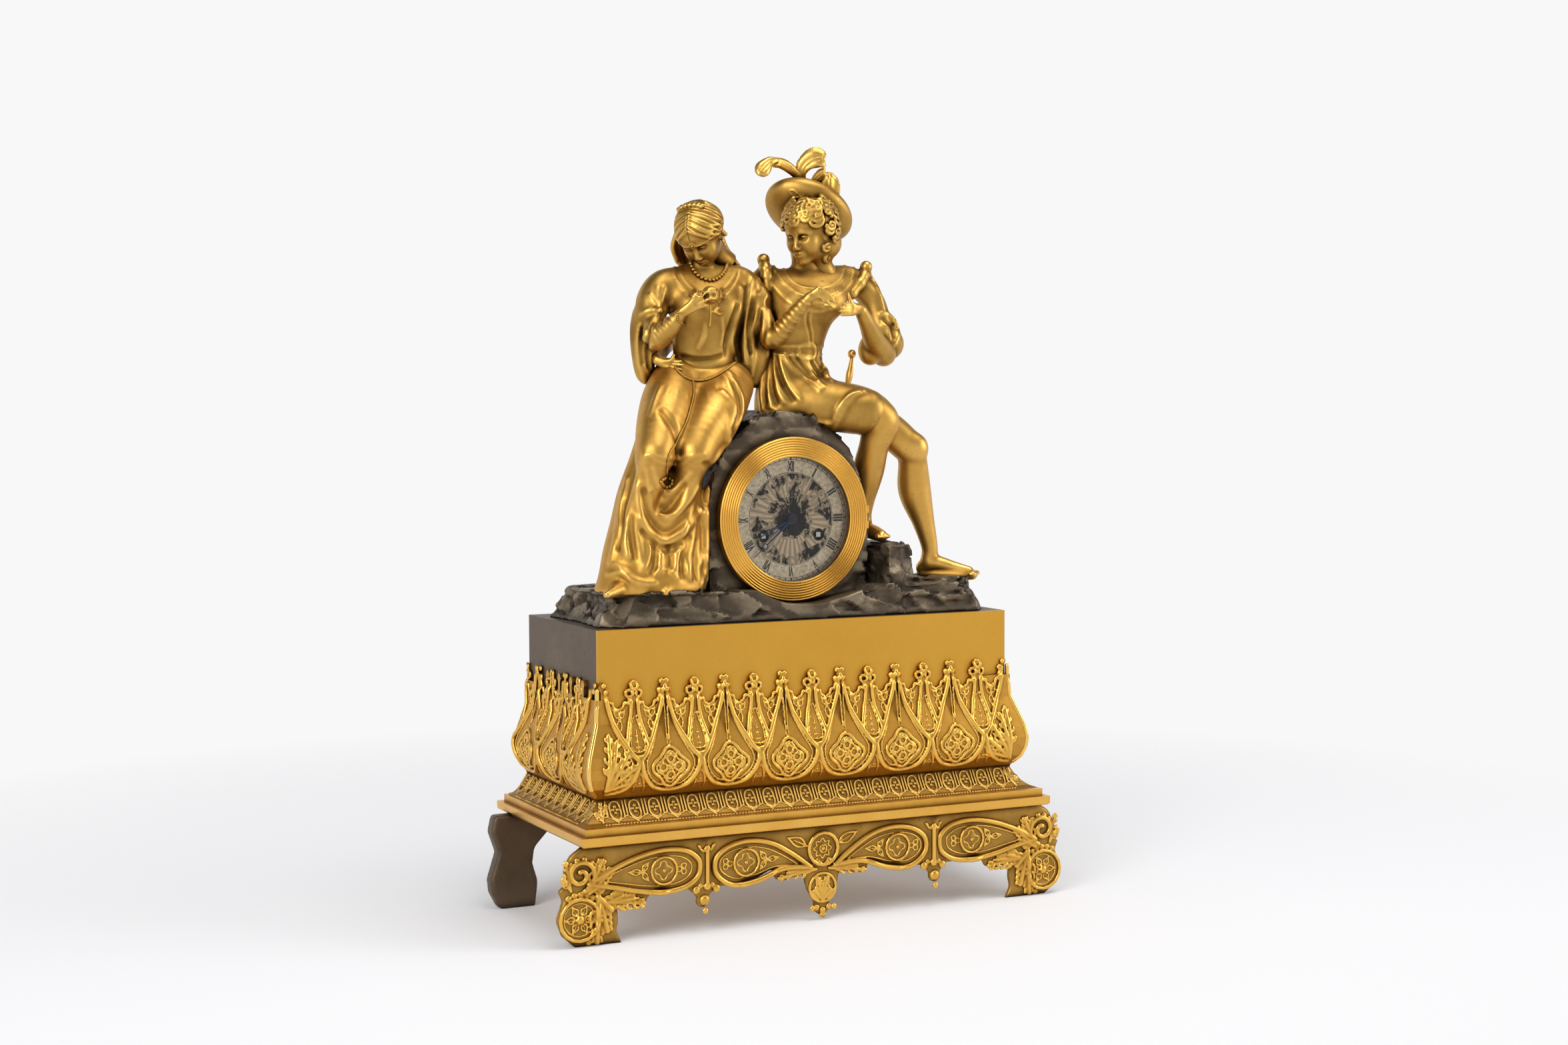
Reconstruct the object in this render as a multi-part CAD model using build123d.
from build123d import *
import math
import os

# Figural mantel clock: a gilt bronze pair on a dark rock drum over a stepped plinth.
# Origin: centre of the footprint on the table. X to the right, front towards -Y, Z up.

# Plinth and its stepped base
PLINTH_WIDTH = 300.0
PLINTH_DEPTH = 125.9
PLINTH_HEIGHT = 107.0
PLINTH_WALL = 3.0
PLINTH_BACK_MARGIN = 8.3
SLAB_WIDTH = 342.4
SLAB_DEPTH = 159.2
SLAB_Z = 63.3
SLAB_THICK = 6.2
STEP_MARGIN = 3.8
STEP_THICK = 4.8
BAND_HEIGHT = 14.7
BAND_SPREAD = 16.5
BAND_PROFILE_SHARES = ((1.0, 0.0), (0.73, 0.12), (0.48, 0.35), (0.28, 0.66), (0.15, 0.94), (0.19, 1.0))
PLINTH_Z = SLAB_Z + SLAB_THICK + STEP_THICK + BAND_HEIGHT
PLINTH_TOP_Z = PLINTH_Z + PLINTH_HEIGHT
BACK_Y = SLAB_DEPTH / 2 - PLINTH_BACK_MARGIN
FRONT_Y = BACK_Y - PLINTH_DEPTH

# Bellied skirt castings with a crested edge
SKIRT_BULGE = 12.0
SKIRT_RISE = 63.0
SKIRT_THICK = 2.5
SKIRT_OUTER_SHARES = (
    (0.22, 0.0), (0.42, 0.05), (0.75, 0.12), (0.94, 0.22), (1.0, 0.32), (0.89, 0.44),
    (0.58, 0.6), (0.27, 0.76), (0.22, 0.9), (0.22, 1.0),
)
CREST_PITCH = 21.1
CREST_NOTCH = 10.0
CREST_FINIAL_RISE = 13.0
CREST_FINIAL_WIDTH = 3.2
CREST_KNOB_R = 3.0
CREST_SIDES = 6

# Pierced front apron on scrolled feet
SPAN = 371.0
APRON_Y = -71.3
APRON_THICK = 4.8
APRON_RELIEF = 1.2
APRON_OUTLINE_SHARES = (
    (0.0, 1.0), (0.906, 1.0), (0.949, 0.916), (0.973, 0.774), (0.962, 0.648), (0.992, 0.569),
    (0.976, 0.474), (1.0, 0.284), (0.981, 0.126), (0.933, 0.0), (0.846, 0.0), (0.76, 0.0),
    (0.782, 0.111), (0.774, 0.237), (0.78, 0.379), (0.706, 0.379), (0.677, 0.355), (0.661, 0.444),
    (0.635, 0.482), (0.571, 0.455), (0.515, 0.466), (0.485, 0.379), (0.437, 0.379), (0.402, 0.458),
    (0.329, 0.449), (0.253, 0.498), (0.189, 0.585), (0.181, 0.458), (0.14, 0.442), (0.075, 0.506),
    (0.057, 0.316), (0.027, 0.174), (0.038, 0.111), (0.0, 0.032),
)
ROSETTE_R = 14.0
ROSETTE_AT_SHARE = (0.918, 0.28)
ROUNDEL_R = 9.0
ROUNDEL_AT_SHARES = ((0.61, 0.686), (0.3, 0.682))
MEDALLION_R = 10.9
MEDALLION_AT_SHARE = (0.0, 0.747)
RING_RIM = 2.0
BOSS_R = 3.0
PILASTER_WIDTH = 5.0
PILASTER_AT_SHARE = 0.455
PILASTER_SPAN_SHARES = (0.47, 0.93)
DROP_R = 4.5
DROP_AT_SHARE = (0.461, 0.33)

# Plain rear feet cut from plate
REAR_FOOT_THICK = 12.0
REAR_FOOT_Y = 60.0
REAR_FOOT_SHARES = (
    (0.96, 0.0), (0.992, 0.174), (0.996, 0.316), (0.965, 0.597), (0.992, 0.821), (0.978, 1.0),
    (0.695, 1.0), (0.765, 0.821), (0.826, 0.629), (0.835, 0.466), (0.815, 0.269), (0.825, 0.0),
)

# Rock terrace and the drum that holds the movement
DIAL_Z = 261.5
DRUM_R = 58.0
DRUM_FRONT_Y = -26.0
DRUM_DEPTH = 72.0
DRUM_BACK_Y = DRUM_FRONT_Y + DRUM_DEPTH
BORE_R = 46.0
SEAT_SHARES = (
    (-1.03, -1.0), (-1.05, 0.1), (-0.97, 0.55), (-0.8, 0.88), (-0.5, 1.14), (-0.2, 1.24),
    (0.2, 1.24), (0.52, 1.14), (0.8, 0.82), (1.0, 0.2), (1.03, -1.0),
)
LEDGE_RISE = 20.0
LEDGE_Z = PLINTH_TOP_Z + LEDGE_RISE
ROCK_RIM = 6.0
ROCK_FOOT_SHARES = (
    (-1.0, -0.8), (-0.9, -1.0), (-0.45, -0.97), (0.0, -1.0), (0.55, -0.96), (0.93, -1.0),
    (1.0, -0.75), (0.98, 0.0), (1.0, 0.8), (0.9, 1.0), (-0.9, 1.0), (-1.0, 0.7), (-0.97, 0.0),
)
ROCK_TOP_SHARE = 0.93
STEP_ROCK_SHARES = ((0.46, -0.9), (0.52, -1.0), (0.62, -0.8), (0.67, -0.3), (0.6, 0.1), (0.4, 0.1))
STEP_ROCK_RISE = 24.5
STEP_ROCK_TOP_SHARE = 0.86
TOE_ROCKS_SHARES = ((-0.7, -0.35, 0.3), (0.84, -0.35, 0.17))
TOE_ROCK_RISE = 2.5
TOE_ROCK_SIDES = 7
SLOT_WIDTH = 30.0
SLOT_FRONT_Y = 17.0

# Figures, in heads: the length from chin to crown is their unit, from the ledge upwards
HEAD = 50.0
FORM_SIDES = 12
FIGURE_RISE = 4.0
FIGURE_FORM_SHARES = {
    "lady_skirt": (
        (-2.02, -0.56, -0.03, 0.78, 0.52), (-1.98, -0.5, 0.42, 0.68, 0.52),
        (-1.86, -0.46, 0.82, 0.66, 0.5), (-1.79, -0.44, 1.22, 0.61, 0.5),
        (-1.61, -0.5, 1.68, 0.59, 0.46), (-1.4, -0.42, 2.04, 0.66, 0.44), (-1.14, -0.22, 2.4, 0.7, 0.4),
        (-1.03, -0.06, 2.72, 0.66, 0.34), (-1.03, 0, 3.02, 0.42, 0.26),
    ),
    "lady_torso": (
        (-1.03, 0, 3.02, 0.42, 0.26), (-1.02, -0.02, 3.3, 0.44, 0.29), (-1, -0.04, 3.6, 0.5, 0.33),
        (-0.98, 0, 3.84, 0.58, 0.3), (-0.94, 0.06, 4.02, 0.7, 0.24), (-0.94, 0.1, 4.2, 0.48, 0.18),
        (-0.98, 0.08, 4.32, 0.18, 0.16), (-1.02, 0.02, 4.5, 0.16, 0.16),
    ),
    "lady_head": (
        (-1.08, -0.14, 4.12, 0.1, 0.12), (-1.12, -0.16, 4.24, 0.22, 0.24),
        (-1.1, -0.12, 4.44, 0.32, 0.32), (-1.08, -0.06, 4.66, 0.34, 0.36), (-1.07, 0, 4.86, 0.28, 0.3),
        (-1.07, 0.04, 5.01, 0.12, 0.14),
    ),
    "lady_veil": (
        (-0.6, 0.34, 4.22, 0.4, 0.08), (-0.66, 0.32, 4.44, 0.38, 0.12), (-0.74, 0.28, 4.64, 0.34, 0.16),
        (-0.84, 0.24, 4.8, 0.28, 0.16), (-0.96, 0.18, 4.94, 0.18, 0.12),
    ),
    "man_tunic": (
        (0.32, 0.04, 2.26, 0.54, 0.4), (0.26, 0.04, 2.64, 0.48, 0.36), (0.35, 0, 3.12, 0.39, 0.26),
        (0.44, 0, 3.5, 0.48, 0.3), (0.56, 0.04, 3.84, 0.62, 0.32), (0.7, 0.12, 4.08, 0.74, 0.28),
        (0.74, 0.16, 4.24, 0.76, 0.2), (0.6, 0.08, 4.36, 0.3, 0.2),
    ),
    "man_head": (
        (0.52, 0.06, 4.28, 0.18, 0.18), (0.44, -0.04, 4.42, 0.24, 0.28), (0.42, -0.1, 4.6, 0.32, 0.34),
        (0.44, -0.08, 4.8, 0.34, 0.36), (0.46, -0.06, 4.96, 0.3, 0.32),
    ),
}
LIMB_SHARES = {
    "lady_right_arm": (
        (-1.64, 0.06, 3.98, 0.16), (-1.76, -0.08, 3.64, 0.18), (-1.84, -0.28, 3.22, 0.16),
        (-1.76, -0.48, 3.34, 0.12), (-1.67, -0.6, 3.48, 0.09), (-1.52, -0.7, 3.6, 0.1),
        (-1.36, -0.74, 3.7, 0.08),
    ),
    "lady_right_sleeve": (
        (-1.76, 0.14, 3.88, 0.14), (-1.84, 0.16, 3.44, 0.14), (-1.84, 0.12, 3.08, 0.12),
        (-1.81, 0.1, 2.68, 0.04),
    ),
    "lady_left_arm": (
        (-0.24, 0.12, 4.02, 0.16), (-0.16, -0.08, 3.64, 0.16), (-0.16, -0.28, 3.22, 0.15),
        (0, -0.52, 3.5, 0.12), (0.15, -0.72, 3.74, 0.09), (0.3, -0.78, 3.82, 0.08),
        (0.52, -0.82, 3.68, 0.04),
    ),
    "lady_left_sleeve": (
        (-0.18, 0.2, 3.88, 0.14), (-0.14, 0.24, 3.44, 0.18), (-0.2, 0.22, 3.04, 0.18),
        (-0.29, 0.16, 2.6, 0.06),
    ),
    "man_right_arm": (
        (0.04, 0.24, 4.16, 0.18), (-0.24, 0.52, 3.84, 0.18), (-0.8, 0.68, 3.44, 0.16),
        (-1.44, 0.56, 3.04, 0.14), (-1.86, 0.12, 2.84, 0.1), (-1.8, -0.24, 2.84, 0.09),
    ),
    "man_left_arm": (
        (1.46, 0.16, 4.1, 0.2), (1.6, 0, 3.7, 0.19), (1.62, -0.16, 3.28, 0.3), (1.5, -0.3, 3.12, 0.26),
        (1.24, -0.48, 3.32, 0.14), (0.97, -0.68, 3.62, 0.09), (0.82, -0.76, 3.64, 0.1),
        (0.62, -0.8, 3.56, 0.06),
    ),
    "man_right_leg": (
        (0.44, -0.12, 2.36, 0.32), (0.9, -0.36, 2.36, 0.33), (1.24, -0.56, 2.24, 0.29),
        (1.36, -0.54, 2.04, 0.26), (1.3, -0.4, 1.72, 0.24), (1.33, -0.22, 1.36, 0.2),
        (1.36, -0.08, 1, 0.12), (1.36, 0, 0.72, 0.14), (1.38, -0.2, 0.6, 0.13), (1.4, -0.52, 0.56, 0.1),
    ),
    "man_left_leg": (
        (0.76, 0.12, 2.36, 0.28), (1.5, -0.12, 2.12, 0.26), (1.94, -0.28, 1.76, 0.24),
        (2.08, -0.24, 1.48, 0.23), (2.14, -0.16, 1.12, 0.24), (2.28, -0.16, 0.68, 0.16),
        (2.36, -0.16, 0.36, 0.13), (2.34, -0.12, 0.12, 0.15), (2.62, -0.3, 0.08, 0.1),
        (2.88, -0.48, 0.04, 0.07),
    ),
    "dagger": (
        (1.32, 0.2, 3.02, 0.08), (1.3, 0.2, 2.92, 0.04), (1.24, 0.18, 2.64, 0.06),
        (1.12, 0.08, 2.36, 0.05),
    ),
    "left_feather": (
        (0.48, 0.12, 5.28, 0.04), (0.28, 0.08, 5.48, 0.05), (0.04, 0.04, 5.6, 0.08),
        (-0.2, -0.04, 5.6, 0.1), (-0.4, -0.12, 5.48, 0.05),
    ),
    "tall_feather": (
        (0.54, 0.1, 5.28, 0.04), (0.46, 0.08, 5.48, 0.08), (0.52, 0.06, 5.66, 0.12),
        (0.68, 0.04, 5.77, 0.09), (0.76, 0.04, 5.66, 0.05),
    ),
    "short_feather": (
        (0.62, 0.08, 5.24, 0.04), (0.66, 0.04, 5.38, 0.07), (0.78, 0, 5.44, 0.08),
        (0.86, -0.06, 5.34, 0.1), (0.76, -0.12, 5.18, 0.06),
    ),
    "lady_right_shoe": (
        (-2.48, -0.76, 0.04, 0.08), (-2.68, -0.92, 0.02, 0.09), (-2.87, -1, 0, 0.05),
    ),
    "lady_left_shoe": (
        (-1.96, -0.84, 0.04, 0.08), (-2.02, -1, 0.02, 0.09), (-2.06, -1.1, 0, 0.04),
    ),
}
HAT_SHARES = (
    (0.6, 0.06, 4.94, 0.7, 0.7), (0.6, 0.06, 5.04, 0.76, 0.76), (0.6, 0.08, 5.14, 0.66, 0.66),
    (0.56, 0.1, 5.22, 0.3, 0.3),
)
HAT_TILT = 10.0
ROSE_SHARE = (-1.21, -0.74, 3.76)
ROSE_R = 6.0
BUCKLE_SHARE = (0.29, -0.3, 3.08)
BUCKLE_WIDTH = 8.0
BUCKLE_HEIGHT = 6.0
BUCKLE_THICK = 2.0

# Dial, bezel and glass
OPENING_R = 41.6
BEZEL_R = 54.8
BEZEL_DEPTH = 7.0
BEZEL_GAP = 0.3
SWING_GAP = 1.0
SWING_STEPS = 16
REED_COUNT = 8
REED_RISE = 0.5
GLASS_THICK = 1.0
GLASS_LIP = 1.0
RING_LIP_R = 50.0
RING_LIP = 1.5
RING_DEPTH = 6.0
RING_BORE_R = 43.0
LEDGE_WIDTH = 2.0
DIAL_Y = -27.0
DIAL_THICK = 0.8
DIAL_FOOT_R = 1.5
DIAL_FOOT_AT_R = 37.0
DIAL_FOOT_TURNS = (40.0, 140.0, 270.0)
WINDING_HOLE_R = 4.2
CENTRE_HOLE_R = 3.2
HINGE_X = BEZEL_R + 1.6
HINGE_Y = DRUM_FRONT_Y - 2.4
KNUCKLE_R = 1.6
KNUCKLE_LENGTH = 5.0
HINGE_PIN_R = 0.7
HINGE_FIT = 0.05

# Movement: plates, barrels and wheel trains
PLATE_R = 42.0
PLATE_THICK = 2.0
FRONT_PLATE_Y = -18.2
PLATE_SPACE = 30.0
PLATE_IN_Y = FRONT_PLATE_Y + PLATE_THICK
PLATE_OUT_Y = PLATE_IN_Y + PLATE_SPACE
PLATE_BACK_Y = PLATE_OUT_Y + PLATE_THICK
PILLAR_R = 2.4
PILLARS_AT = ((16.0, 35.0), (-9.0, 36.0), (9.0, -36.0), (-9.0, -36.0))
WINDING_X = 20.5
WINDING_DROP = 11.0
SQUARE_SIDE = 3.2
ARBOR_R = 2.2
RATCHET_R = 5.5
RATCHET_TEETH = 14
RATCHET_THICK = 1.0
BARREL_DRUM_R = 17.0
BARREL_DEPTH = 16.0
WHEEL_THICK = 1.2
PINION_THICK = 2.4
SPINDLE_R = 0.6
PIVOT_R = 0.45
RUNNING_FIT = 0.05
END_SHAKE = 0.2
HUB_R = 2.2
RIM_WIDTH = 1.8
SPOKE_WIDTH = 1.6
SPOKES = 4
SIDE_GAP = 0.4
MESH_FIT = 0.03

# Teeth: corners of one tooth as (height in modules, place along the pitch)
WHEEL_TOOTH_SHARES = ((-1.2, -0.5), (0.7, -0.04), (0.7, 0.04))
PINION_LEAF_SHARES = ((-1.2, -0.2), (0.6, -0.1), (0.6, 0.1), (-1.2, 0.2))
ESCAPE_TOOTH_SHARES = ((-2.6, 0.0), (0.0, 0.45), (0.0, 0.55))
RATCHET_TOOTH_SHARES = ((-1.4, 0.0), (0.0, 0.9))
BARREL_TEETH = 84
BARREL_PINION = 12
BARREL_MODULE = 0.42
SECOND_TEETH = 66
SECOND_PINION = 12
SECOND_MODULE = 0.38
CENTRE_TEETH = 80
CENTRE_PINION = 7
CENTRE_MODULE = 0.32
THIRD_TEETH = 77
THIRD_PINION = 7
THIRD_MODULE = 0.26
ESCAPE_TEETH = 36
ESCAPE_R = 8.5
ESCAPE_Z = 19.0
ANCHOR_Z = 32.0
PIN_TEETH = 70
PIN_PINION = 8
PIN_MODULE = 0.34
WARNING_TEETH = 60
WARNING_PINION = 7
WARNING_MODULE = 0.28
COUNT_TEETH = 72
COUNT_PINION = 8
COUNT_MODULE = 0.34
CANNON_TEETH = 12
MINUTE_TEETH = 36
CANNON_MODULE = 0.5
MINUTE_PINION = 10
HOUR_TEETH = 40
HOUR_MODULE = 0.48
PIN_ARBOR_TURN = 98.0
WARNING_ARBOR_TURN = 68.0
FLY_ARBOR_TURN = 175.0
COUNT_ARBOR_TURN = -70.0
MINUTE_ARBOR_TURN = 90.0

# Layers of the wheels, counted back from the inner face of the front plate
GREAT_LAYER = 1.0
FIRST_LAYER = 19.8
LAYER_PITCH = 2.5
MINUTE_LAYER_Y = -20.6
HOUR_LAYER_Y = -22.8
COUNT_LAYER_Y = 16.6

# Striking details
PIN_COUNT = 10
LIFT_PIN_R = 0.5
LIFT_PIN_LENGTH = 1.0
LIFT_PIN_AT_SHARE = 0.84
FLY_SPAN = 9.0
FLY_DEPTH = 10.0
FLY_THICK = 0.6
FLY_Y = -12.0
STUD_R = 1.2
LOCKING_R = 9.5
LOCKING_THICK = 1.0
LOCKING_NOTCH = 1.4
HOURS = 12
BELL_R = 34.0
BELL_MOUTH_Y = 30.0
BELL_DEPTH = 13.0
BELL_WALL = 1.4
BELL_SHARES = ((1.0, 0.0), (0.99, 0.5), (0.82, 0.88), (0.3, 1.0), (0.0, 1.0))
BELL_POST_AT = (24.0, -18.0)
BELL_POST_R = 2.0
BELL_ARM_WIDTH = 4.0
BELL_ARM_THICK = 2.0
BELL_NUT_R = 3.5
BELL_NUT_THICK = 1.5
HAMMER_AT = (-30.0, -24.0)
HAMMER_TURN = 200.0
HAMMER_HUB_R = 3.0
HAMMER_HUB_Y = 17.5
HAMMER_ARM_THICK = 2.0
HAMMER_ARM_WIDTH = 2.6
HAMMER_STEM_R = 1.2
HAMMER_HEAD_R = 2.5
HAMMER_HEAD_DEPTH = 5.0
HAMMER_GAP = 0.4

# Escapement and pendulum
ANCHOR_SHARES = ((0.988, 0.571), (0.8, 1.06), (0.0, 1.33), (-0.8, 1.06), (-0.988, 0.571), (-1.13, 0.64),
                 (-0.94, 1.29), (0.0, 1.65), (0.94, 1.29), (1.13, 0.64))
CRUTCH_Y = 18.6
CRUTCH_THICK = 1.2
CRUTCH_WIDTH = 2.4
CRUTCH_DROP = 26.0
FORK_WIDTH = 6.0
FORK_HEIGHT = 3.0
FORK_FIT = 0.35
PENDULUM_Y = 24.0
PENDULUM_LENGTH = 157.0
ROD_R = 1.0
ROD_TOP_RISE = 0.8
BOB_R = 15.0
BOB_THICK = 7.0
RATING_NUT_R = 3.0
RATING_NUT_HEIGHT = 4.0
COCK_WIDTH = 10.0
COCK_HEIGHT = 5.0
COCK_GAP = 1.3
COCK_DEPTH = 12.0

# Hands and the pipes that carry them
CANNON_BORE_R = 1.05
CENTRE_ARBOR_R = 1.0
CANNON_PIPE_R = 1.85
HOUR_PIPE_BORE_R = 1.9
HOUR_PIPE_R = 2.6
HOUR_HAND_Y = -28.6
MINUTE_HAND_Y = -29.9
HAND_THICK = 0.5
HOUR_HAND_LENGTH = 26.0
MINUTE_HAND_LENGTH = 37.6
HAND_HUB_R = 3.4
HAND_WIDTH = 1.3
HAND_RING_R = 2.2
HAND_RING_AT_SHARE = 0.72
HAND_TIP_WIDTH_SHARE = 0.3
HOUR_HAND_TURN = -153.0
MINUTE_HAND_TURN = -138.8
COLLET_R = 2.6

# Straps and ring that clamp the movement in the drum
STRAP_WIDTH = 7.0
STRAP_THICK = 2.2
STRAP_X = 43.4
REAR_RING_THICK = 2.0
REAR_RING_R = 52.0
REAR_RING_BORE_R = 43.0


# Flat work drawn on the front (X, Z) plane and thickened towards the back
def depth_plane(back, x=0.0, z=0.0, turn=0.0):
    along = math.radians(turn)
    return Plane(origin=(x, back, z), x_dir=(math.cos(along), 0, math.sin(along)), z_dir=(0, -1, 0))


def plate(sketch, front, back, x=0.0, z=0.0, turn=0.0):
    return extrude(depth_plane(back, x, z, turn) * sketch, amount=back - front)


def disc(radius, front, back, x=0.0, z=0.0):
    return plate(Circle(radius), front, back, x, z)


def tube(outer, inner, front, back, x=0.0, z=0.0):
    return plate(Circle(outer) - Circle(inner), front, back, x, z)


def block(left, right, front, back, bottom, top):
    size = Box(right - left, back - front, top - bottom)
    return Pos((left + right) / 2, (front + back) / 2, (bottom + top) / 2) * size


def outline(points):
    return make_face(Polyline(*points, close=True))


def scaled(shares, across, up):
    return [(across * x, up * z) for x, z in shares]


def main_solid(shape):
    return max(shape.solids(), key=lambda solid: solid.volume)


# Stepped base
def base_slab():
    half, deep = SLAB_WIDTH / 2, SLAB_DEPTH / 2
    slab = block(-half, half, -deep, deep, SLAB_Z, SLAB_Z + SLAB_THICK)
    slab = fillet(slab.edges().filter_by(GeomType.LINE).group_by(Axis.Z)[0], SLAB_THICK / 3)
    step_top = SLAB_Z + SLAB_THICK + STEP_THICK
    inner, back = half - STEP_MARGIN, deep - STEP_MARGIN
    slab += block(-inner, inner, -back, back, SLAB_Z + SLAB_THICK, step_top)
    well_x, well_y = PLINTH_WIDTH / 2 - BAND_SPREAD, FRONT_Y + BAND_SPREAD
    return slab - block(-well_x, well_x, well_y, BACK_Y - BAND_SPREAD, SLAB_Z + SLAB_THICK, step_top)


def band_section(spread, z):
    half = PLINTH_WIDTH / 2 + spread
    front = FRONT_Y - spread
    return Pos(0, 0, z) * outline([(-half, front), (half, front), (half, BACK_Y), (-half, BACK_Y)])


def cavetto_band():
    foot = PLINTH_Z - BAND_HEIGHT
    sections = [band_section(BAND_SPREAD * e, foot + BAND_HEIGHT * z) for e, z in BAND_PROFILE_SHARES]
    band = loft(sections, ruled=True)
    half = PLINTH_WIDTH / 2 - PLINTH_WALL
    return band - block(-half, half, FRONT_Y + PLINTH_WALL, BACK_Y, foot, PLINTH_Z)


# Plinth walls and top
def plinth_front():
    half = PLINTH_WIDTH / 2
    return block(-half, half, FRONT_Y, FRONT_Y + PLINTH_WALL, PLINTH_Z, PLINTH_TOP_Z)


def plinth_side(side):
    outer = side * PLINTH_WIDTH / 2
    inner = outer - side * PLINTH_WALL
    return block(min(inner, outer), max(inner, outer), FRONT_Y + PLINTH_WALL, BACK_Y, PLINTH_Z, PLINTH_TOP_Z)


def plinth_top():
    half = PLINTH_WIDTH / 2 - PLINTH_WALL
    bottom = PLINTH_TOP_Z - PLINTH_WALL
    top = block(-half, half, FRONT_Y + PLINTH_WALL, BACK_Y, bottom, PLINTH_TOP_Z)
    return top - block(-SLOT_WIDTH / 2, SLOT_WIDTH / 2, SLOT_FRONT_Y, BACK_Y, bottom, PLINTH_TOP_Z)


# Bellied skirts: one profile run along each side and mitred at the corners
def skirt_profile(face, outward):
    outer = [(face + outward * SKIRT_BULGE * e, PLINTH_Z + SKIRT_RISE * z) for e, z in SKIRT_OUTER_SHARES]
    inner = [(p - outward * SKIRT_THICK, z) for p, z in outer]
    inner = [(p if outward * (p - face) > 0 else face, z) for p, z in inner]
    return outline(outer + inner[::-1])


def crest_finial():
    knob = RegularPolygon(CREST_KNOB_R, CREST_SIDES)
    stem = Pos(0, CREST_FINIAL_RISE / 2) * Rectangle(CREST_FINIAL_WIDTH, CREST_FINIAL_RISE)
    return stem + Pos(0, CREST_FINIAL_RISE - CREST_KNOB_R) * knob


def crest_notch():
    half = CREST_PITCH / 2
    arch_points = ((-half, SKIRT_THICK), (0, -CREST_NOTCH), (half, SKIRT_THICK))
    return outline(arch_points)


def crest_places(length):
    count = int(length / CREST_PITCH)
    return [(i - (count - 1) / 2) * CREST_PITCH for i in range(count)]


def skirt_front():
    half, reach = PLINTH_WIDTH / 2, 2 * SKIRT_BULGE
    side_view = Plane(origin=(-half - reach, 0, 0), x_dir=(0, 1, 0), z_dir=(1, 0, 0))
    skirt = extrude(side_view * skirt_profile(FRONT_Y, -1), amount=PLINTH_WIDTH + 2 * reach)
    plan = outline([
        (-half, FRONT_Y), (-half - reach, FRONT_Y - reach), (half + reach, FRONT_Y - reach), (half, FRONT_Y),
    ])
    skirt &= extrude(Pos(0, 0, PLINTH_Z) * plan, amount=PLINTH_HEIGHT)
    top = PLINTH_Z + SKIRT_RISE
    places = crest_places(PLINTH_WIDTH)
    for x in places[:-1]:
        skirt -= plate(crest_notch(), FRONT_Y - reach, FRONT_Y, x + CREST_PITCH / 2, top)
    for x in places:
        skirt += plate(crest_finial(), FRONT_Y - SKIRT_THICK, FRONT_Y, x, top - SKIRT_THICK)
    return skirt


def skirt_side(side):
    face, reach = side * PLINTH_WIDTH / 2, 2 * SKIRT_BULGE
    front_view = Plane(origin=(0, BACK_Y, 0), x_dir=(1, 0, 0), z_dir=(0, -1, 0))
    skirt = extrude(front_view * skirt_profile(face, side), amount=PLINTH_DEPTH + reach)
    outer = face + side * reach
    plan = outline([(face, FRONT_Y), (outer, FRONT_Y - reach), (outer, BACK_Y), (face, BACK_Y)])
    skirt &= extrude(Pos(0, 0, PLINTH_Z) * plan, amount=PLINTH_HEIGHT)
    top = PLINTH_Z + SKIRT_RISE
    middle = (FRONT_Y + BACK_Y) / 2
    places = crest_places(PLINTH_DEPTH)

    def across(sketch, start, depth, y, z):
        view = Plane(origin=(start, middle + y, z), x_dir=(0, 1, 0), z_dir=(1, 0, 0))
        return extrude(view * sketch, amount=depth)

    for y in places[:-1]:
        skirt -= across(crest_notch(), min(face, outer), reach, y + CREST_PITCH / 2, top)
    for y in places:
        start = face if side > 0 else face - SKIRT_THICK
        skirt += across(crest_finial(), start, SKIRT_THICK, y, top - SKIRT_THICK)
    return skirt


# Apron in one casting, with its rosettes, roundels, pilasters and drops in relief
def apron_relief(share, radius):
    x, z = share[0] * SPAN / 2, share[1] * SLAB_Z
    ring = tube(radius, radius - RING_RIM, APRON_Y - APRON_RELIEF, APRON_Y, x, z)
    return ring + disc(BOSS_R, APRON_Y - APRON_RELIEF, APRON_Y, x, z)


def front_apron():
    right = scaled(APRON_OUTLINE_SHARES, SPAN / 2, SLAB_Z)
    left = [(-x, z) for x, z in right[::-1] if x > 0]
    back = APRON_Y + APRON_THICK
    apron = plate(outline(right + left), APRON_Y, back)
    apron += apron_relief(MEDALLION_AT_SHARE, MEDALLION_R)
    low, high = (share * SLAB_Z for share in PILASTER_SPAN_SHARES)
    for side in (-1, 1):
        apron += apron_relief((side * ROSETTE_AT_SHARE[0], ROSETTE_AT_SHARE[1]), ROSETTE_R)
        for x, z in ROUNDEL_AT_SHARES:
            apron += apron_relief((side * x, z), ROUNDEL_R)
        x = side * PILASTER_AT_SHARE * SPAN / 2
        left, right = x - PILASTER_WIDTH / 2, x + PILASTER_WIDTH / 2
        apron += block(left, right, APRON_Y - APRON_RELIEF, APRON_Y, low, high)
        drop_z = DROP_AT_SHARE[1] * SLAB_Z
        apron += disc(DROP_R, APRON_Y, back, side * DROP_AT_SHARE[0] * SPAN / 2, drop_z)
    return apron


def rear_foot(side):
    points = [(side * x, z) for x, z in scaled(REAR_FOOT_SHARES, SPAN / 2, SLAB_Z)]
    half = REAR_FOOT_THICK / 2
    return plate(outline(points), REAR_FOOT_Y - half, REAR_FOOT_Y + half)


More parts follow.
